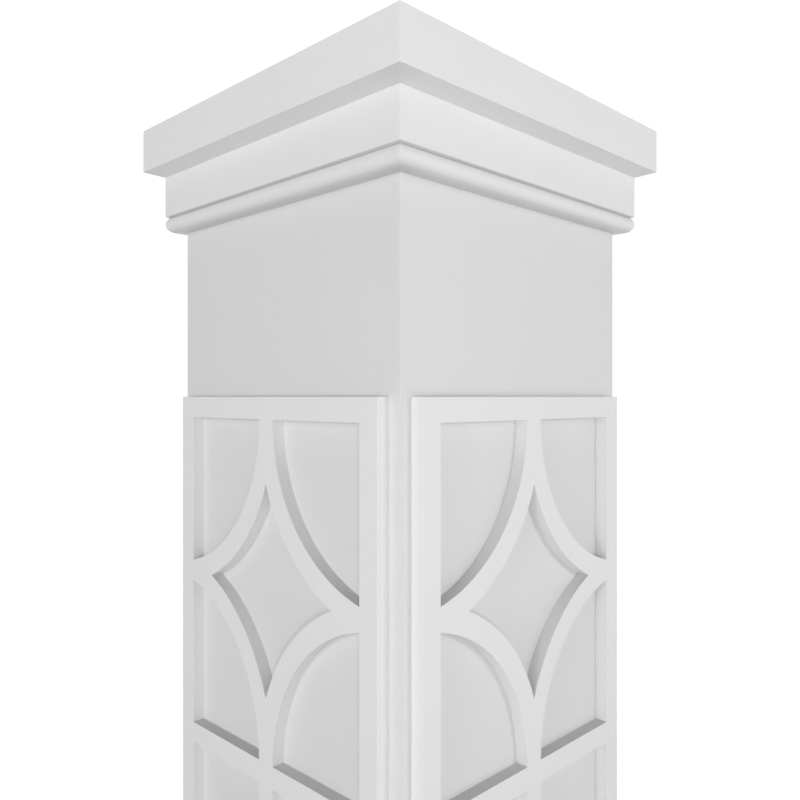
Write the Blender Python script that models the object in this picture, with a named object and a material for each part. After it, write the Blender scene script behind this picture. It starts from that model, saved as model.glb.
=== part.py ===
# A square porch column, boxed round a structural post
#
# Four shaft boards are mitred along the corners into a hollow square shaft, open at both ends for
# the post. A frieze board, a cap band and a half-round bead go round its head, a base board and a
# plinth band go round its foot, and a pierced fretwork panel is planted on each side.
# All four sides are alike, so each piece is modelled once and then set on every side.
# Lengths are in metres, +Z is up, and the origin is the middle of the underside.

import math

import bmesh
import bpy

INCH = 0.0254

# Gap between two pieces that touch, and the distance within which a solid's own corners are one
GAP = 0.0003
WELD_DISTANCE = 1e-6

# Faces that meet at less than this angle are shaded as one round surface
SMOOTH_ANGLE = math.radians(30.0)

# Shaft
COLUMN_HEIGHT = 108.0 * INCH
SHAFT_WIDTH = 9.625 * INCH
SHAFT_WALL = 0.5 * INCH

# Trim boards round the head and the foot. A face is the height of a board's upright front: behind it
# the board's free edge runs back at a slope, away from the near end of the column.
TRIM_THICKNESS = 0.5 * INCH
TRIM_SLOPE = math.radians(20.0)
FRIEZE_FACE = 2.75 * INCH
CAP_FACE = 1.3125 * INCH
BASE_FACE = 3.5 * INCH
PLINTH_FACE = 2.25 * INCH

# Half-round bead under the frieze board
BEAD_HEIGHT = 0.515 * INCH
BEAD_PROJECTION = 0.5 * INCH
BEAD_RADIUS = 0.27 * INCH
BEAD_STEPS = 10

# Fretwork panels. The pitch is the height of one cell of the pattern, with one rail.
PANEL_THICKNESS = 0.375 * INCH
PANEL_SETBACK = 0.375 * INCH
STILE_WIDTH = 0.625 * INCH
RAIL_WIDTH = 0.625 * INCH
LATTICE_WIDTH = 0.625 * INCH
CELL_PITCH = 10.0 * INCH
OPENING_STEPS = 7
DIAMOND_STEPS = 5

# Plain shaft between the capital and the panels
PLAIN_NECK = 5.235 * INCH

# Sizes that follow
QUARTER_TURN = math.radians(90.0)
HALF_SHAFT = SHAFT_WIDTH / 2
CAPITAL_HEIGHT = FRIEZE_FACE + BEAD_HEIGHT
BASE_HEIGHT = BASE_FACE + (TRIM_THICKNESS - GAP) * math.tan(TRIM_SLOPE)
PANEL_TOP = COLUMN_HEIGHT - CAPITAL_HEIGHT - PLAIN_NECK
HALF_PANEL = HALF_SHAFT - PANEL_SETBACK

# The panel has as many whole cells as leave at least the base's own height plain above the base
PANEL_ROOM = PANEL_TOP - 2 * BASE_HEIGHT
CELL_COUNT = int((PANEL_ROOM - RAIL_WIDTH) / CELL_PITCH)
PANEL_HEIGHT = CELL_COUNT * CELL_PITCH + RAIL_WIDTH

# One cell of the fretwork. Its four corner openings are bounded by arcs that leave the mullion
# upright at the rail and end at the stile, half a lattice width from the cell's middle.
HALF_OPENING = HALF_PANEL - STILE_WIDTH
HALF_CELL = (CELL_PITCH - RAIL_WIDTH) / 2
HALF_LATTICE = LATTICE_WIDTH / 2
ARC_WIDTH = HALF_OPENING - HALF_LATTICE
ARC_HEIGHT = HALF_CELL - HALF_LATTICE
ARC_RADIUS = (ARC_WIDTH ** 2 + ARC_HEIGHT ** 2) / (2 * ARC_WIDTH)
ARC_CENTRE = HALF_LATTICE + ARC_RADIUS
DIAMOND_RADIUS = ARC_RADIUS + LATTICE_WIDTH


def remove_old_objects():
    for old in list(bpy.data.objects):
        bpy.data.objects.remove(old, do_unlink=True)


def paint(name, colour, roughness):
    material = bpy.data.materials.new(name)
    material.use_nodes = True
    shader = material.node_tree.nodes["Principled BSDF"]
    shader.inputs["Base Color"].default_value = (*colour, 1.0)
    shader.inputs["Roughness"].default_value = roughness
    shader.inputs["Metallic"].default_value = 0.0
    return material


def shaft_paint():
    return paint("shaft_paint", (0.80, 0.80, 0.80), 0.50)


def fretwork_paint():
    return paint("fretwork_paint", (0.83, 0.83, 0.83), 0.45)


def trim_paint():
    return paint("trim_paint", (0.82, 0.82, 0.82), 0.48)


def bead_paint():
    return paint("bead_paint", (0.82, 0.82, 0.82), 0.42)


def arc(centre, radius, start, end, steps):
    # Points along an arc, both ends included
    points = []
    for step in range(steps + 1):
        angle = start + (end - start) * step / steps
        points.append((centre[0] + radius * math.cos(angle), centre[1] + radius * math.sin(angle)))
    return points


def extruded(name, outlines, half_depth):
    # A solid mesh from flat outlines: the first is the edge, and any others are holes through it
    curve = bpy.data.curves.new(name, "CURVE")
    curve.dimensions = "2D"
    curve.fill_mode = "BOTH"
    curve.extrude = half_depth
    for outline in outlines:
        spline = curve.splines.new("POLY")
        spline.points.add(len(outline) - 1)
        for point, (across, up) in zip(spline.points, outline):
            point.co = (across, up, 0.0, 1.0)
        spline.use_cyclic_u = True
    pattern = bpy.data.objects.new(name, curve)
    bpy.context.scene.collection.objects.link(pattern)
    evaluated = pattern.evaluated_get(bpy.context.evaluated_depsgraph_get())
    mesh = bpy.data.meshes.new_from_object(evaluated)
    bpy.data.objects.remove(pattern, do_unlink=True)
    bpy.data.curves.remove(curve)
    mesh.name = name
    weld_caps(mesh)
    mesh.shade_smooth()
    mesh.set_sharp_from_angle(angle=SMOOTH_ANGLE)
    return mesh


def weld_caps(mesh):
    solid = bmesh.new()
    solid.from_mesh(mesh)
    bmesh.ops.remove_doubles(solid, verts=solid.verts, dist=WELD_DISTANCE)
    bmesh.ops.recalc_face_normals(solid, faces=solid.faces)
    solid.to_mesh(mesh)
    solid.free()


def mitred(name, section):
    # A length with this section, mitred at both ends. The section is drawn from the shaft's face
    # outward, and each end runs out with it at 45 degrees, half a gap short of the corner's plane.
    mesh = extruded(name, [section], HALF_SHAFT)
    corner_clearance = GAP / math.sqrt(2)
    for vertex in mesh.vertices:
        half_length = HALF_SHAFT + vertex.co.x - corner_clearance
        vertex.co.z = math.copysign(half_length, vertex.co.z)
    return mesh


def trim_section(back, front, face, away):
    # Board section from its end of the column: away is 1 up from the foot, -1 down from the head
    slope_run = (front - back) * math.tan(TRIM_SLOPE)
    return [
        (back, 0.0),
        (front, 0.0),
        (front, away * face),
        (back, away * (face + slope_run)),
    ]


def shaft_board():
    section = [(-SHAFT_WALL, 0.0), (0.0, 0.0), (0.0, COLUMN_HEIGHT), (-SHAFT_WALL, COLUMN_HEIGHT)]
    return mitred("shaft_board", section)


def frieze_board():
    return mitred("frieze_board", trim_section(GAP, TRIM_THICKNESS, FRIEZE_FACE, -1))


def cap_band():
    back = TRIM_THICKNESS + GAP
    return mitred("cap_band", trim_section(back, 2 * TRIM_THICKNESS, CAP_FACE, -1))


def base_board():
    return mitred("base_board", trim_section(GAP, TRIM_THICKNESS, BASE_FACE, 1))


def plinth_band():
    back = TRIM_THICKNESS + GAP
    return mitred("plinth_band", trim_section(back, 2 * TRIM_THICKNESS, PLINTH_FACE, 1))


def frieze_underside(projection):
    # Height of the frieze board's sloped lower edge, less the gap, measured from the column's top
    slope_run = (TRIM_THICKNESS - projection) * math.tan(TRIM_SLOPE)
    return -FRIEZE_FACE - slope_run - GAP / math.cos(TRIM_SLOPE)


def bead():
    # The round runs from the flat underside, out and up to where it meets the frieze board's slope
    centre = (BEAD_PROJECTION - BEAD_RADIUS, BEAD_RADIUS - CAPITAL_HEIGHT)
    to_slope = (frieze_underside(centre[0]) - centre[1]) * math.cos(TRIM_SLOPE)
    meeting_angle = QUARTER_TURN + TRIM_SLOPE - math.acos(min(to_slope / BEAD_RADIUS, 1.0))
    section = [(GAP, -CAPITAL_HEIGHT)]
    section += arc(centre, BEAD_RADIUS, -QUARTER_TURN, meeting_angle, BEAD_STEPS)
    section.append((GAP, frieze_underside(GAP)))
    return mitred("bead", section)


def corner_opening(middle, side, end):
    # One of a cell's four corner openings. Side is 1 or -1 across, and end is 1 or -1 up.
    stile_angle = math.atan2(ARC_HEIGHT, ARC_WIDTH - ARC_RADIUS)
    edge = arc((ARC_CENTRE, 0.0), ARC_RADIUS, math.pi, stile_angle, OPENING_STEPS)
    edge.append((HALF_OPENING, 0.0))
    return [(side * across, middle + end * (HALF_CELL - along)) for across, along in edge]


def diamond_opening(middle):
    # Four arcs, concentric with the corner openings' arcs, one lattice width nearer the middle
    reach_up = math.acos(ARC_CENTRE / DIAMOND_RADIUS)
    reach_across = math.asin(HALF_CELL / DIAMOND_RADIUS)
    start = math.pi - reach_up
    end = math.pi - reach_across
    quarter = arc((ARC_CENTRE, 0.0), DIAMOND_RADIUS, start, end, DIAMOND_STEPS)
    outline = []
    for side, end in ((1, 1), (1, -1), (-1, -1), (-1, 1)):
        points = [(side * across, middle + end * (HALF_CELL - along)) for across, along in quarter]
        if side != end:
            points.reverse()
        outline += points[:-1]
    return outline


def fretwork_panel():
    outlines = [[
        (-HALF_PANEL, 0.0),
        (HALF_PANEL, 0.0),
        (HALF_PANEL, PANEL_HEIGHT),
        (-HALF_PANEL, PANEL_HEIGHT),
    ]]
    for cell in range(CELL_COUNT):
        middle = RAIL_WIDTH + HALF_CELL + cell * CELL_PITCH
        outlines.append(diamond_opening(middle))
        for side in (-1, 1):
            for end in (-1, 1):
                outlines.append(corner_opening(middle, side, end))
    return extruded("fretwork_panel", outlines, (PANEL_THICKNESS - GAP) / 2)


def side_frames(collection):
    # An empty for each side, on the column's axis, with its X pointing out of that side
    frames = {}
    for turn, side in enumerate(("front", "right", "back", "left")):
        frame = bpy.data.objects.new(f"side_{side}", None)
        frame.rotation_euler = (0.0, 0.0, (turn - 1) * QUARTER_TURN)
        collection.objects.link(frame)
        frames[side] = frame
    return frames


def set_on_sides(collection, frames, mesh, material, location, rotation):
    mesh.materials.append(material)
    for side, frame in frames.items():
        piece = bpy.data.objects.new(f"{mesh.name}_{side}", mesh)
        piece.parent = frame
        piece.location = location
        piece.rotation_euler = rotation
        collection.objects.link(piece)


def build_column():
    remove_old_objects()
    collection = bpy.data.collections.new("square_column")
    bpy.context.scene.collection.children.link(collection)
    frames = side_frames(collection)

    # A mitred length's section stands upright, and its length lies along the side
    lengthwise = (QUARTER_TURN, 0.0, 0.0)
    foot = (HALF_SHAFT, 0.0, 0.0)
    head = (HALF_SHAFT, 0.0, COLUMN_HEIGHT)
    trim = trim_paint()
    set_on_sides(collection, frames, shaft_board(), shaft_paint(), foot, lengthwise)
    set_on_sides(collection, frames, frieze_board(), trim, head, lengthwise)
    set_on_sides(collection, frames, cap_band(), trim, head, lengthwise)
    set_on_sides(collection, frames, bead(), bead_paint(), head, lengthwise)
    set_on_sides(collection, frames, base_board(), trim, foot, lengthwise)
    set_on_sides(collection, frames, plinth_band(), trim, foot, lengthwise)

    # The panel's outline faces out of the side, its front one panel thickness off the shaft
    facing_out = (QUARTER_TURN, 0.0, QUARTER_TURN)
    panel_middle = HALF_SHAFT + (PANEL_THICKNESS + GAP) / 2
    panel_place = (panel_middle, 0.0, PANEL_TOP - PANEL_HEIGHT)
    set_on_sides(collection, frames, fretwork_panel(), fretwork_paint(), panel_place, facing_out)


build_column()
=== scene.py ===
# %% [markdown]
# # A square porch column with fretwork panels
#
# A column like this is a box. White boards are mitred round a structural post, more boards and a
# half-round bead are wrapped round the head to make a capital, and a pierced panel is planted on
# each side. Everything is flat stock with its sharp edges just broken, so what makes it look real
# is small: the thin arris on every board, the painted shade in the groove over the bead, the dust
# and painted shade on each ledge, and the way a satin white takes the light. This script dresses a
# finished frame of solids with exactly those things.

# %% The imported column
import math

import bmesh
import bpy
from mathutils import Matrix, Vector
from mathutils.geometry import tessellate_polygon


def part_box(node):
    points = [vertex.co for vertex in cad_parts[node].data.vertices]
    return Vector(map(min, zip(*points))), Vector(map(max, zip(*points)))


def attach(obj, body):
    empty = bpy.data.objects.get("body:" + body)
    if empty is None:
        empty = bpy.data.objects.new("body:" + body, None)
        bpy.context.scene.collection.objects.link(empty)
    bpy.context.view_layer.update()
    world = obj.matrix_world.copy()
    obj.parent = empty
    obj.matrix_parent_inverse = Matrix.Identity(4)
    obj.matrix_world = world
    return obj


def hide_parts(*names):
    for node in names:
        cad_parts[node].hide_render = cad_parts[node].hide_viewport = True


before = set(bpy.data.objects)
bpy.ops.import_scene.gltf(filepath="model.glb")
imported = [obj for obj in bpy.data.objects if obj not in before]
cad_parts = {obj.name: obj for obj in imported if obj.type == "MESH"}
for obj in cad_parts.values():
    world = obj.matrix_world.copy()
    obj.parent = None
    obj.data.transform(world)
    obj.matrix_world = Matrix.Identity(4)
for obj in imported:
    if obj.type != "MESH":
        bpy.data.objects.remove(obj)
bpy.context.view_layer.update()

INCH = 0.0254
MM = 0.001

# %% [markdown]
# ## Measuring the frame
#
# Every size that the solids already have is read from them, so that nothing here can drift away
# from the model. All four sides are alike, so it is enough to measure the right one, which faces
# +X: its X is how far out a face stands from the column's axis, and its Z is a height. Each piece
# is modelled once on that side and turned a quarter at a time.

# %% Faces and heights of the right side
shaft_low, shaft_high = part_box("shaft_board_right")
panel_low, panel_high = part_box("fretwork_panel_right")
frieze_low, frieze_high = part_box("frieze_board_right")
cap_low, cap_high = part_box("cap_band_right")
bead_low, bead_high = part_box("bead_right")
base_low, base_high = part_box("base_board_right")
plinth_low, plinth_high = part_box("plinth_band_right")

SHAFT_FACE = shaft_high.x
COLUMN_TOP = shaft_high.z
PANEL_TOP = panel_high.z
print("Shaft", round(2 * SHAFT_FACE / INCH, 3), "in wide, panels up to", round(PANEL_TOP / INCH, 3), "in")

# %% [markdown]
# ## The camera
#
# The photograph looks straight at a corner with a level camera: uprights stay parallel, and the
# top edges of the panels lie exactly on the horizon. So the camera stands on the diagonal at the
# height of the panels' tops. How fast the edges run towards the horizon gives the distance, which
# is short, and that is what makes the capital loom. The lens then follows from the size of the
# capital in the picture, and a very small shift brings the horizon to its place.

# %% Camera on the diagonal, level with the panels' tops
PICTURE = 800
FOCAL_PIXELS = 774.0
HORIZON_PIXEL = 396.8
CAMERA_DISTANCE = 24.79 * INCH
SENSOR = 36.0
NEAREST_SEEN = 10 * MM

camera_data = bpy.data.cameras.new("camera")
camera_data.sensor_width = SENSOR
camera_data.lens = SENSOR * FOCAL_PIXELS / PICTURE
camera_data.shift_y = (HORIZON_PIXEL - PICTURE / 2) / PICTURE
camera_data.clip_start = NEAREST_SEEN
camera = bpy.data.objects.new("camera", camera_data)
diagonal = CAMERA_DISTANCE / math.sqrt(2)
camera.location = (diagonal, -diagonal, PANEL_TOP)
camera.rotation_euler = (math.radians(90), 0.0, math.radians(45))
bpy.context.scene.collection.objects.link(camera)
bpy.context.scene.camera = camera
print("Lens", round(camera_data.lens, 2), "mm at", round(CAMERA_DISTANCE, 3), "m")

# %% [markdown]
# ## Shader maths in Python
#
# A finish is easier to read as a sum than as a web of nodes. The small class below holds one
# output of a node. Adding or multiplying it makes the Math node for that step, and one method
# makes any other node from its type, its settings and what goes into its sockets. Sockets go by
# their name, or by their number where two of them share a name.

# %% A wire between nodes
class Wire:
    def __init__(self, tree, socket):
        self.tree = tree
        self.socket = socket

    @staticmethod
    def node(tree, kind, settings, sockets, output=0):
        made = tree.nodes.new(kind)
        for setting, value in settings.items():
            setattr(made, setting, value)
        for socket, value in sockets.items():
            if isinstance(value, Wire):
                tree.links.new(value.socket, made.inputs[socket])
            else:
                made.inputs[socket].default_value = value
        return Wire(tree, made.outputs[output])

    def math(self, operation, first, second):
        return Wire.node(self.tree, "ShaderNodeMath", {"operation": operation}, {0: first, 1: second})

    def __add__(self, other):
        return self.math("ADD", self, other)

    def __sub__(self, other):
        return self.math("SUBTRACT", self, other)

    def __rsub__(self, other):
        return self.math("SUBTRACT", other, self)

    def __mul__(self, other):
        return self.math("MULTIPLY", self, other)

    __radd__ = __add__
    __rmul__ = __mul__


print("Wires understand + - and *")

# %% Helpers for patterns
def stretched(tree, place, scale):
    # The same place, measured in finer or coarser steps along each axis
    return Wire.node(tree, "ShaderNodeVectorMath", {"operation": "MULTIPLY"}, {0: place, 1: scale})


def height_of(tree, vector):
    return Wire.node(tree, "ShaderNodeSeparateXYZ", {}, {"Vector": vector}, output="Z")


def noise(tree, place, scale, detail):
    return Wire.node(tree, "ShaderNodeTexNoise", {}, {"Vector": place, "Scale": scale, "Detail": detail})


def ramp(tree, value, low, high):
    # 0 below low, 1 above high, and a soft S between
    settings = {"interpolation_type": "SMOOTHSTEP"}
    limits = {"From Min": low, "From Max": high}
    return Wire.node(tree, "ShaderNodeMapRange", settings, {"Value": value, **limits})


def blend(tree, amount, first, second):
    # Mixes two colours: sockets 6 and 7 are its colour inputs, and output 2 is the mixed colour
    settings = {"data_type": "RGBA"}
    return Wire.node(tree, "ShaderNodeMix", settings, {0: amount, 6: first, 7: second}, output=2)


def grey(value):
    # A neutral white: the photograph has no trace of colour anywhere
    return (value, value, value, 1.0)


print("Patterns ready")

# %% [markdown]
# ## The finish: satin white over cellular board
#
# The boards are foamed plastic with a smooth skin, rolled with white. Up close that is never one
# flat colour. The white clouds slightly over a hand's width, faint lines run along each board
# from the die it was drawn through, and the roller leaves a fine stipple that only shows as a
# break in the sheen. Whatever looks up is darkened in two coats: a film on whatever leans back at
# all, and a heavier layer on what is level. That is partly dust and partly painted shade, since
# little light falls from above. Only the bead, sheltered by the boards above, has no film. The
# dark line in the groove over the bead is painted shade: for that a finish takes a few bands of
# height, each with the height where it is still unshaded, the height where it is darkest, and how
# dark. Every pattern is procedural and measured in metres, so that it keeps its true scale wherever it is
# seen.

# %% The white finish
CLOUD_PER_METRE = 7.0
DRAWN_LINES_ACROSS = 420.0
DRAWN_LINES_ALONG = 2.5
STIPPLE_PER_METRE = 1300.0
SPECK_PER_METRE = 700.0
RELIEF_DEPTH = 0.12 * MM
RELIEF_STRENGTH = 0.12
DUST_AND_SHADE_COLOUR = grey(0.455)
PAINTED_SHADE_COLOUR = grey(0.30)
# How far a face looks up, 0 if upright and 1 if level, where each coat of dust and painted shade
# starts and is full
FILM_TILT = (0.0, 0.4)
LAYER_TILT = (0.7, 1.0)
FILM_SHARE = 0.6


def white_finish(name, white, roughness, run, cloudiness=0.03, painted_shade_bands=(), film=FILM_SHARE):
    # Run is the axis that the board's length lies along, 1 for Y and 2 for Z. Place is the
    # object's own coordinates, so a pattern stays put when the piece is turned to another side.
    material = bpy.data.materials.new(name)
    material.use_nodes = True
    tree = material.node_tree
    shader = tree.nodes["Principled BSDF"]
    place = Wire.node(tree, "ShaderNodeTexCoord", {}, {}, output="Object")

    cloud = noise(tree, place, CLOUD_PER_METRE, 4.0)
    line_scale = [DRAWN_LINES_ACROSS] * 3
    line_scale[run] = DRAWN_LINES_ALONG
    drawn = noise(tree, stretched(tree, place, line_scale), 1.0, 2.0)
    stipple = noise(tree, place, STIPPLE_PER_METRE, 2.0)
    speck = ramp(tree, noise(tree, place, SPECK_PER_METRE, 1.0), 0.70, 0.82)

    # Whatever looks up is darkened: partly dust, partly painted shade, since little light falls from above
    upward = height_of(tree, Wire.node(tree, "ShaderNodeNewGeometry", {}, {}, output="Normal"))
    dust_and_shade_mask = film * ramp(tree, upward, *FILM_TILT) + (1 - film) * ramp(tree, upward, *LAYER_TILT)
    dust_and_shade = dust_and_shade_mask * (0.42 + 0.30 * cloud)

    tone = cloud * 0.7 + drawn * 0.3
    painted = blend(tree, tone, grey(white * (1 - cloudiness)), grey(white * (1 + cloudiness)))
    specked = blend(tree, speck * 0.12, painted, grey(white * 0.86))
    colour = blend(tree, dust_and_shade, specked, DUST_AND_SHADE_COLOUR)
    height = height_of(tree, place)
    # Painted shade in bands of height, for the groove and the undersides where little light reaches
    for unshaded, darkest, strength in painted_shade_bands:
        painted_shade = ramp(tree, height, unshaded, darkest) * (strength * 0.8 + strength * 0.4 * cloud)
        colour = blend(tree, painted_shade, colour, PAINTED_SHADE_COLOUR)
    tree.links.new(colour.socket, shader.inputs["Base Color"])

    sheen = roughness + 0.10 * (cloud - 0.5) + 0.06 * (drawn - 0.5) + 0.25 * dust_and_shade
    tree.links.new(sheen.socket, shader.inputs["Roughness"])

    relief = stipple * 0.6 + drawn * 0.4 - speck * 0.3
    bump_sockets = {"Strength": RELIEF_STRENGTH, "Distance": RELIEF_DEPTH, "Height": relief}
    bump = Wire.node(tree, "ShaderNodeBump", {}, bump_sockets)
    tree.links.new(bump.socket, shader.inputs["Normal"])
    return material


ALONG_Y = 1
ALONG_Z = 2
SHAFT_WHITE = 0.775
TRIM_WHITE = 0.85
# The cap band's white is a little higher than the trim's: painted light, so that its face is as bright as
# the frieze below it
CAP_WHITE = 0.885
FRETWORK_WHITE = 0.85
SHAFT_ROUGHNESS = 0.52
TRIM_ROUGHNESS = 0.48
FRETWORK_ROUGHNESS = 0.46
BEAD_ROUGHNESS = 0.42

shaft_finish = white_finish("shaft_white", SHAFT_WHITE, SHAFT_ROUGHNESS, ALONG_Z)
base_finish = white_finish("base_white", TRIM_WHITE, TRIM_ROUGHNESS, ALONG_Y)
cap_finish = white_finish("cap_white", CAP_WHITE, TRIM_ROUGHNESS, ALONG_Y)
fretwork_finish = white_finish("fretwork_white", FRETWORK_WHITE, FRETWORK_ROUGHNESS, ALONG_Z)
print("Finishes:", ", ".join(m.name for m in (shaft_finish, base_finish, cap_finish, fretwork_finish)))

# %% [markdown]
# ## Eased edges
#
# Nobody leaves a board's arris quite sharp: it chips, and paint won't stay on it. In the photograph
# the edges are very crisp, so here it is only just broken, by a hair's breadth of radius. That is
# enough to catch the light along an edge when the camera comes close. A bevel tool could do it,
# but every board here is an outline pushed along a straight line, so the outline itself is given
# round corners before it is pushed.

# %% An outline with eased corners
EASE = 0.15 * MM
ARRIS_STEPS = 3
# Half of the hairline between two pieces at a mitre, and the whole of it where one lies on another
JOINT = 0.03 * MM


def eased(outline):
    # Each corner is (out, up, radius). A radius of 0 stays sharp, for an edge that butts on another.
    points = []
    for index, (out, up, radius) in enumerate(outline):
        corner = Vector((out, up))
        if radius == 0:
            points.append(corner)
            continue
        before = (Vector(outline[index - 1][:2]) - corner).normalized()
        after = (Vector(outline[(index + 1) % len(outline)][:2]) - corner).normalized()
        half_angle = before.angle(after) / 2
        centre = corner + (before + after).normalized() * radius / math.sin(half_angle)
        start = corner + before * radius / math.tan(half_angle) - centre
        sweep = start.angle_signed(corner + after * radius / math.tan(half_angle) - centre)
        for step in range(ARRIS_STEPS + 1):
            turned = start.copy()
            turned.rotate(Matrix.Rotation(-sweep * step / ARRIS_STEPS, 2))
            points.append(centre + turned)
    return points


print("Arris radius", round(EASE / MM, 2), "mm")

# %% [markdown]
# ## A mitred length
#
# Each board or moulding runs along one side and is cut at 45 degrees at both ends, so that four
# of them close round the column. A point of the section that stands farther out must also reach
# farther along, and by just as much. The outer corner is eased too, as the shaft's long corners
# are: near its ends every line along the board bends round a small arc until it meets the
# diagonal, where the next board takes over. The two ends are closed with the section itself.

# %% Sweeping a section from mitre to mitre
def corner_run(out):
    # Places along the board, in plan, of a point that stands this far out, from mitre to mitre
    centre = out - EASE
    turns = [math.radians(45) * (1 - step / ARRIS_STEPS) for step in range(ARRIS_STEPS + 1)]
    arc = [(centre + EASE * math.cos(turn), centre + EASE * math.sin(turn) - JOINT) for turn in turns]
    return [(x, -y) for x, y in arc] + [(x, y) for x, y in reversed(arc)]


# A compass arc turns a few degrees a step and is shaded smooth. An arris turns more than this at
# each step and stays crisp, so that it doesn't tilt the shading of the flat faces beside it.
SMOOTH_BELOW = math.radians(7)


def finished_mesh(name, solid, material):
    bmesh.ops.recalc_face_normals(solid, faces=solid.faces)
    mesh = bpy.data.meshes.new(name)
    solid.to_mesh(mesh)
    solid.free()
    mesh.materials.append(material)
    mesh.shade_smooth()
    mesh.set_sharp_from_angle(angle=SMOOTH_BELOW)
    return mesh


def mitred_length(name, section, material):
    solid = bmesh.new()
    rows = []
    for out, up in section:
        rows.append([solid.verts.new((x, y, up)) for x, y in corner_run(out)])
    for row, following in zip(rows, rows[1:] + rows[:1]):
        for index in range(len(row) - 1):
            solid.faces.new((row[index], row[index + 1], following[index + 1], following[index]))
    solid.faces.new([row[0] for row in rows])
    solid.faces.new([row[-1] for row in rows])
    return finished_mesh(name, solid, material)


print("Shaded smooth where faces turn by less than", round(math.degrees(SMOOTH_BELOW)), "degrees")

# %% Setting a piece on all four sides
SIDES = ("front", "right", "back", "left")
QUARTER_TURN = math.radians(90)
made = {}


def set_on_sides(kind, mesh):
    # The front is the right side turned back by a quarter. Each piece stands for its own solid.
    for turn, side in enumerate(SIDES):
        piece = bpy.data.objects.new(f"{side}_{kind}", mesh)
        piece.rotation_euler = (0.0, 0.0, QUARTER_TURN * (turn - 1))
        bpy.context.scene.collection.objects.link(piece)
        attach(piece, "root")
        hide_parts(f"{kind}_{side}")
    made[kind] = len(mesh.polygons)
    print(kind, "on four sides,", len(mesh.polygons), "faces each")


print("Sides:", ", ".join(SIDES))

# %% [markdown]
# ## The shaft
#
# Four half-inch boards, as tall as the column, with nothing inside but room for the post. The
# box is open at both ends. Seen from above, the shaft, the frieze boards and the cap bands are
# three rings, one inside the other, and sanding their tops flush leaves a fine V between them.

# %% Shaft boards
SEAM = 0.7 * MM
shaft_section = eased([
    (shaft_low.x, 0.0, EASE),
    (SHAFT_FACE, 0.0, EASE),
    (SHAFT_FACE, COLUMN_TOP, SEAM),
    (shaft_low.x, COLUMN_TOP, SEAM),
])
set_on_sides("shaft_board", mitred_length("shaft_board", shaft_section, shaft_finish))

# %% [markdown]
# ## The capital
#
# Two layers of board make the steps. The frieze board goes on the shaft, and the cap band goes
# over its top edge. Both have their lower edge cut back at twenty degrees, which throws a soft
# shade under each step. The bead is tucked up under the frieze board, and its round face comes
# out flush with it, so that only a thin groove parts the two.

# %% Frieze boards and cap bands
TRIM_SLOPE = math.radians(20)
frieze_edge = frieze_low.z + (frieze_high.x - frieze_low.x) * math.tan(TRIM_SLOPE)
frieze_back = SHAFT_FACE + JOINT
frieze_section = eased([
    (frieze_back, COLUMN_TOP, SEAM),
    (frieze_back, frieze_low.z, 0.0),
    (frieze_high.x, frieze_edge, EASE),
    (frieze_high.x, COLUMN_TOP, SEAM),
])
# The roof of the groove over the bead gets painted shade: none just above the board's lower edge, dark
# below it
groove_shade_above = [(frieze_edge + 0.3 * MM, frieze_edge - 1.2 * MM, 0.46)]
frieze_finish = white_finish("frieze_white", TRIM_WHITE, TRIM_ROUGHNESS, ALONG_Y, painted_shade_bands=groove_shade_above)
set_on_sides("frieze_board", mitred_length("frieze_board", frieze_section, frieze_finish))

cap_edge = cap_low.z + (cap_high.x - cap_low.x) * math.tan(TRIM_SLOPE)
cap_back = frieze_high.x + JOINT
cap_section = eased([
    (cap_back, COLUMN_TOP, SEAM),
    (cap_back, cap_low.z, 0.0),
    (cap_high.x, cap_edge, EASE),
    (cap_high.x, COLUMN_TOP, EASE),
])
set_on_sides("cap_band", mitred_length("cap_band", cap_section, cap_finish))

# %% [markdown]
# A half-round is an arc from the flat underside out and up to where it meets the slope of the
# board above. The angle where they meet comes from the bead's radius and the distance between
# its centre and the slope.

# %% Beads
BEAD_RADIUS = 0.27 * INCH
BEAD_STEPS = 28
bead_out = bead_high.x - BEAD_RADIUS
bead_up = bead_low.z + BEAD_RADIUS


def under_frieze(out):
    # Height of the frieze board's sloped edge at this distance out, less the joint
    return frieze_edge - (frieze_high.x - out) * math.tan(TRIM_SLOPE) - JOINT


to_slope = (under_frieze(bead_out) - bead_up) * math.cos(TRIM_SLOPE)
meeting = math.radians(90) + TRIM_SLOPE - math.acos(to_slope / BEAD_RADIUS)
bead_centre = Vector((bead_out, bead_up))
bead_section = [Vector((frieze_back, bead_low.z))]
for step in range(BEAD_STEPS + 1):
    turn = math.radians(-90) + (meeting + math.radians(90)) * step / BEAD_STEPS
    bead_section.append(bead_centre + BEAD_RADIUS * Vector((math.cos(turn), math.sin(turn))))
bead_section.append(Vector((frieze_back, under_frieze(frieze_back))))
print("The bead's arc turns", round(math.degrees(meeting) + 90), "degrees in", BEAD_STEPS, "steps")

# Painted shade: the floor of the groove darkens towards the board above, and the bead's underside is a bit
# dimmed
bead_top = bead_up + BEAD_RADIUS * math.sin(meeting)
groove_shade_below = (bead_top - 1.7 * MM, bead_top - 0.2 * MM, 0.38)
underside_shade = (bead_low.z + 2.4 * MM, bead_low.z + 0.4 * MM, 0.13)
bead_shade = [groove_shade_below, underside_shade]
bead_finish = white_finish("bead_white", TRIM_WHITE, BEAD_ROUGHNESS, ALONG_Y, 0.02, bead_shade, film=0.0)
set_on_sides("bead", mitred_length("bead", bead_section, bead_finish))

# %% [markdown]
# ## The base
#
# The foot is the capital turned over and made plainer: two layers of board with their upper edge
# cut back at the same slope, so that rain runs off, and no bead to rot in the wet.

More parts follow.
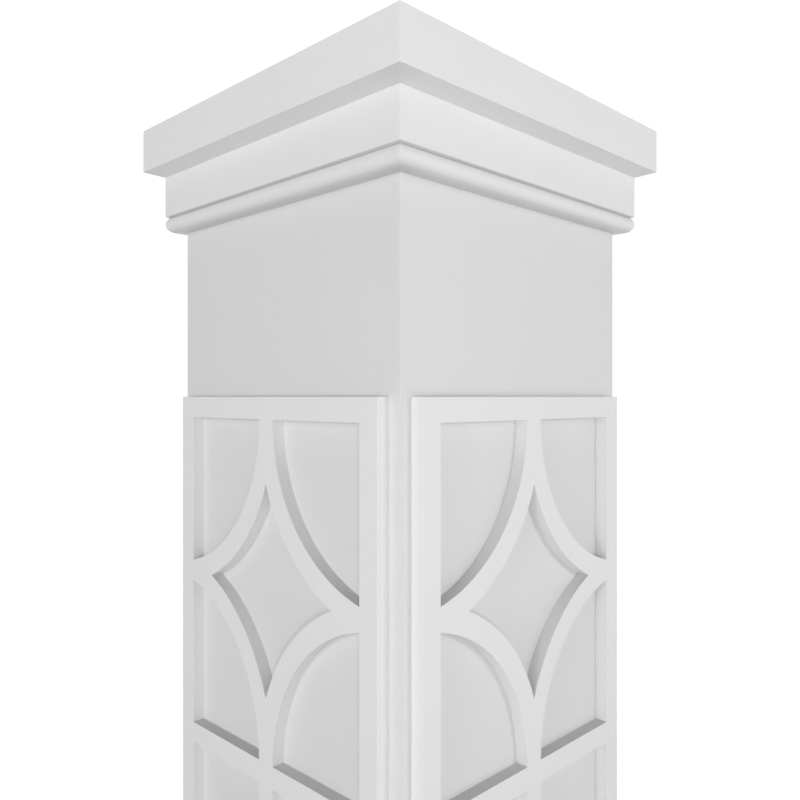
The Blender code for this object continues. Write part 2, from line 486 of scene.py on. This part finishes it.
# %% Base boards and plinth bands
base_edge = base_high.z - (base_high.x - base_low.x) * math.tan(TRIM_SLOPE)
base_section = eased([
    (frieze_back, 0.0, 0.0),
    (base_high.x, 0.0, EASE),
    (base_high.x, base_edge, EASE),
    (frieze_back, base_high.z, 0.0),
])
set_on_sides("base_board", mitred_length("base_board", base_section, base_finish))

plinth_edge = plinth_high.z - (plinth_high.x - plinth_low.x) * math.tan(TRIM_SLOPE)
plinth_section = eased([
    (cap_back, 0.0, 0.0),
    (plinth_high.x, 0.0, EASE),
    (plinth_high.x, plinth_edge, EASE),
    (cap_back, plinth_high.z, 0.0),
])
set_on_sides("plinth_band", mitred_length("plinth_band", plinth_section, base_finish))

# %% [markdown]
# ## The fretwork pattern
#
# A panel is cut from one board, and its pattern is drawn with a compass. In each cell four arcs
# spring upright from the middle of a rail and swing out to the stiles, and a second set with the
# same centres, one bar's width nearer the middle, encloses a diamond. So a cell has five holes:
# four corner openings and the diamond. Only one corner is worked out, and the others are its
# mirror images.

# %% Compass lines of one cell
BAR = 0.625 * INCH
CELL_PITCH = 10.0 * INCH
OPENING_STEPS = 22
DIAMOND_STEPS = 14

half_panel = panel_high.y
half_opening = half_panel - BAR
half_cell = (CELL_PITCH - BAR) / 2
arc_width = half_opening - BAR / 2
arc_height = half_cell - BAR / 2
arc_radius = (arc_width ** 2 + arc_height ** 2) / (2 * arc_width)
arc_centre = BAR / 2 + arc_radius
cell_count = round((PANEL_TOP - panel_low.z - BAR) / CELL_PITCH)
print(cell_count, "cells a panel, compass set to", round(arc_radius / INCH, 3), "in")


def compass(radius, start, end, steps):
    # Points (across, down) from a centre on the rail's edge
    turns = [start + (end - start) * step / steps for step in range(steps + 1)]
    return [(arc_centre + radius * math.cos(turn), radius * math.sin(turn)) for turn in turns]


def mirrored(points, middle, side, end):
    # Moves one corner's points into a cell: side is 1 or -1 across, and end is 1 or -1 up
    moved = [Vector((side * across, middle + end * (half_cell - down))) for across, down in points]
    return moved if side == end else moved[::-1]


# %% Outlines of the openings
def clockwise(outline):
    turning = sum(a.x * b.y - b.x * a.y for a, b in zip(outline, outline[1:] + outline[:1]))
    return outline if turning < 0 else outline[::-1]


def cell_openings(middle):
    stile_turn = math.atan2(arc_height, arc_width - arc_radius)
    corner = compass(arc_radius, math.pi, stile_turn, OPENING_STEPS) + [(half_opening, 0.0)]
    diamond_radius = arc_radius + BAR
    tip_turn = math.pi - math.acos(arc_centre / diamond_radius)
    side_turn = math.pi - math.asin(half_cell / diamond_radius)
    edge = compass(diamond_radius, tip_turn, side_turn, DIAMOND_STEPS)
    corners = ((1, 1), (1, -1), (-1, -1), (-1, 1))
    diamond = [point for side, end in corners for point in mirrored(edge, middle, side, end)[:-1]]
    return [clockwise(diamond)] + [clockwise(mirrored(corner, middle, side, end)) for side, end in corners]


panel_outlines = [[
    Vector((-half_panel, panel_low.z)),
    Vector((half_panel, panel_low.z)),
    Vector((half_panel, PANEL_TOP)),
    Vector((-half_panel, PANEL_TOP)),
]]
for cell in range(cell_count):
    panel_outlines += cell_openings(panel_low.z + BAR + half_cell + cell * CELL_PITCH)
print(len(panel_outlines) - 1, "openings in a panel")

# %% [markdown]
# ## Cutting the panel
#
# The wall of each opening is a plain drop from the front of the board to its back, with the front
# edge eased like every other arris and the back edge sharp against the shaft. So each outline is
# repeated at several depths: at its true line from the back almost to the front, then drawn back
# into the board a little more at each step of the arris. Drawing back by a fixed distance is a
# mitre at every point of the outline: it moves along the bisector of its two edges. The flat front
# and back are then filled between all the outlines at once, holes included.

# %% Drawing an outline back into the board
def drawn_back(outline, distance):
    # The board lies on the left of every outline: round the edge anticlockwise, round a hole clockwise
    moved = []
    for index, point in enumerate(outline):
        before = (point - outline[index - 1]).normalized()
        after = (outline[(index + 1) % len(outline)] - point).normalized()
        left_before = Vector((-before.y, before.x))
        left_after = Vector((-after.y, after.x))
        reach = distance / (1 + left_before.dot(left_after))
        moved.append(point + (left_before + left_after) * reach)
    return moved


def panel_levels():
    # (drawn back, out) from the back of the panel to its front
    turns = [QUARTER_TURN * step / ARRIS_STEPS for step in range(ARRIS_STEPS + 1)]
    front = panel_high.x - EASE
    arris = [(EASE * (1 - math.cos(turn)), front + EASE * math.sin(turn)) for turn in turns]
    return [(0.0, SHAFT_FACE + JOINT)] + arris


def fretwork_mesh(name, outlines, material):
    solid = bmesh.new()
    rings = []
    for drawn, out in panel_levels():
        ring = []
        for outline in outlines:
            ring.append([solid.verts.new((out, p.x, p.y)) for p in drawn_back(outline, drawn)])
        rings.append(ring)
    for lower, upper in zip(rings, rings[1:]):
        for below, above in zip(lower, upper):
            for index in range(len(below)):
                following = (index + 1) % len(below)
                solid.faces.new((below[index], below[following], above[following], above[index]))
    for ring in (rings[0], rings[-1]):
        corners = [corner for loop in ring for corner in loop]
        flat = [[Vector((v.co.y, v.co.z, 0.0)) for v in loop] for loop in ring]
        for triangle in tessellate_polygon(flat):
            solid.faces.new([corners[index] for index in triangle])
    return finished_mesh(name, solid, material)


panel_mesh = fretwork_mesh("fretwork_panel", panel_outlines, fretwork_finish)
set_on_sides("fretwork_panel", panel_mesh)

# %% [markdown]
# ## The studio
#
# The photograph has a pure white background and hardly a shadow, but it isn't evenly lit. Faces
# that stand upright are bright and those that look up or down are much darker, so nearly all the
# light comes in from the sides. The sky is built from soft cards that add up: a pale band all
# round at the column's height, a broad card on the right, a narrow bright one just left of the
# camera, and a white one behind the column for the background. Below and overhead it is dim.

# %% The sky as a few soft cards
# Name: direction in degrees to the right of the camera, half its width, lowest and highest
# elevation as a sine, and brightness. A half width of 180 goes all round, and a sine of 2 is past
# the zenith, so that the card overhead has no upper end.
SKY_CARDS = {
    "behind the column": (180, 38, -0.62, 0.62, 1.05),
    "all round": (0, 142, -0.42, 0.42, 0.44),
    "left of the camera": (-30, 15, -0.15, 0.42, 1.75),
    "right": (78, 60, -0.42, 0.42, 0.61),
    "below": (0, 180, -0.80, -0.42, 0.25),
    "overhead": (0, 180, 0.42, 2.00, 0.125),
}
# How softly a card ends: above and below as a sine, and at its sides in degrees
FADE = 0.12
SIDE_FADE = 8
CAMERA_SIDE = math.radians(-45)


def sky_card(tree, direction, azimuth, half_width, low, high, brightness):
    height = height_of(tree, direction)
    card = ramp(tree, height, low - FADE, low + FADE) * (1.0 - ramp(tree, height, high - FADE, high + FADE))
    if half_width < 180:
        level = stretched(tree, direction, (1.0, 1.0, 0.0))
        flat = Wire.node(tree, "ShaderNodeVectorMath", {"operation": "NORMALIZE"}, {"Vector": level})
        turn = CAMERA_SIDE + math.radians(azimuth)
        centre = (math.cos(turn), math.sin(turn), 0.0)
        settings = {"operation": "DOT_PRODUCT"}
        facing = Wire.node(tree, "ShaderNodeVectorMath", settings, {0: flat, 1: centre}, output="Value")
        far_edge = math.cos(math.radians(half_width + SIDE_FADE))
        near_edge = math.cos(math.radians(half_width - SIDE_FADE))
        card = card * ramp(tree, facing, far_edge, near_edge)
    return card * brightness


world = bpy.data.worlds.new("studio")
world.use_nodes = True
bpy.context.scene.world = world
sky = world.node_tree
direction = Wire.node(sky, "ShaderNodeTexCoord", {}, {}, output="Generated")
light = sum(sky_card(sky, direction, *card) for card in SKY_CARDS.values())
sky.links.new(light.socket, sky.nodes["Background"].inputs["Color"])
print("Sky cards:", ", ".join(SKY_CARDS))

# %% [markdown]
# Soft boxes give the light its edge: each is small enough to leave a thin line of shade in a
# corner. The front one stands close, so its light fades towards the far edge of both faces, and
# a little low, so it draws the fine dark line on the shaft just above each panel.

# %% Soft boxes
# Name: degrees to the right of the camera, distance, height above the camera, size and power
SOFT_BOXES = {
    "front_soft_box": (4, 1.0, -0.08, 0.09, 1.20),
    "left_soft_box": (-30, 2.5, -0.22, 0.25, 5.4),
    "high_left_soft_box": (-45, 2.5, 0.30, 0.25, 7.4),
    "right_soft_box": (60, 2.5, 0.30, 0.25, 8.1),
}

for name, (azimuth, distance, above_camera, size, power) in SOFT_BOXES.items():
    lamp = bpy.data.lights.new(name, "AREA")
    lamp.shape = "SQUARE"
    lamp.size = size
    lamp.energy = power
    box = bpy.data.objects.new(name, lamp)
    turn = CAMERA_SIDE + math.radians(azimuth)
    box.location = (distance * math.cos(turn), distance * math.sin(turn), PANEL_TOP + above_camera)
    aim = Vector((0.0, 0.0, PANEL_TOP)) - box.location
    box.rotation_euler = aim.to_track_quat("-Z", "Y").to_euler()
    bpy.context.scene.collection.objects.link(box)
bpy.context.scene.view_settings.view_transform = "Standard"
print("Soft boxes:", {name: row[-1] for name, row in SOFT_BOXES.items()}, "watts")

# %% [markdown]
# The photograph ends above the floor. A plain pale disc stands in for it, wide enough for the
# column to be seen standing on it from any side, with the faintest clouding. It isn't attached to
# the column's body, so it never becomes part of the column, and it lies a hair below the plinth,
# so that the two don't share a surface.

# %% Floor
FLOOR_RADIUS = 4.0
FLOOR_DROP = 1.0 * MM
FLOOR_CLOUD_PER_METRE = 1.5
floor_mesh = bpy.data.meshes.new("floor")
disc = bmesh.new()
bmesh.ops.create_circle(disc, cap_ends=True, segments=128, radius=FLOOR_RADIUS)
disc.to_mesh(floor_mesh)
disc.free()
floor_material = bpy.data.materials.new("pale_floor")
floor_material.use_nodes = True
floor_tree = floor_material.node_tree
floor_place = Wire.node(floor_tree, "ShaderNodeTexCoord", {}, {}, output="Object")
floor_cloud = noise(floor_tree, floor_place, FLOOR_CLOUD_PER_METRE, 3.0)
floor_white = blend(floor_tree, floor_cloud, grey(0.90), grey(0.94))
floor_tree.links.new(floor_white.socket, floor_tree.nodes["Principled BSDF"].inputs["Base Color"])
floor_mesh.materials.append(floor_material)
floor = bpy.data.objects.new("floor", floor_mesh)
floor.location.z = -FLOOR_DROP
bpy.context.scene.collection.objects.link(floor)
print("Floor", 2 * FLOOR_RADIUS, "m across")

# %% [markdown]
# ## What was made
#
# The faces of each kind of piece are counted and printed. The dressed column has to stay inside
# the solids it stands for.

# %% Faces and the end
bpy.context.view_layer.update()
print("Faces by kind:", made)
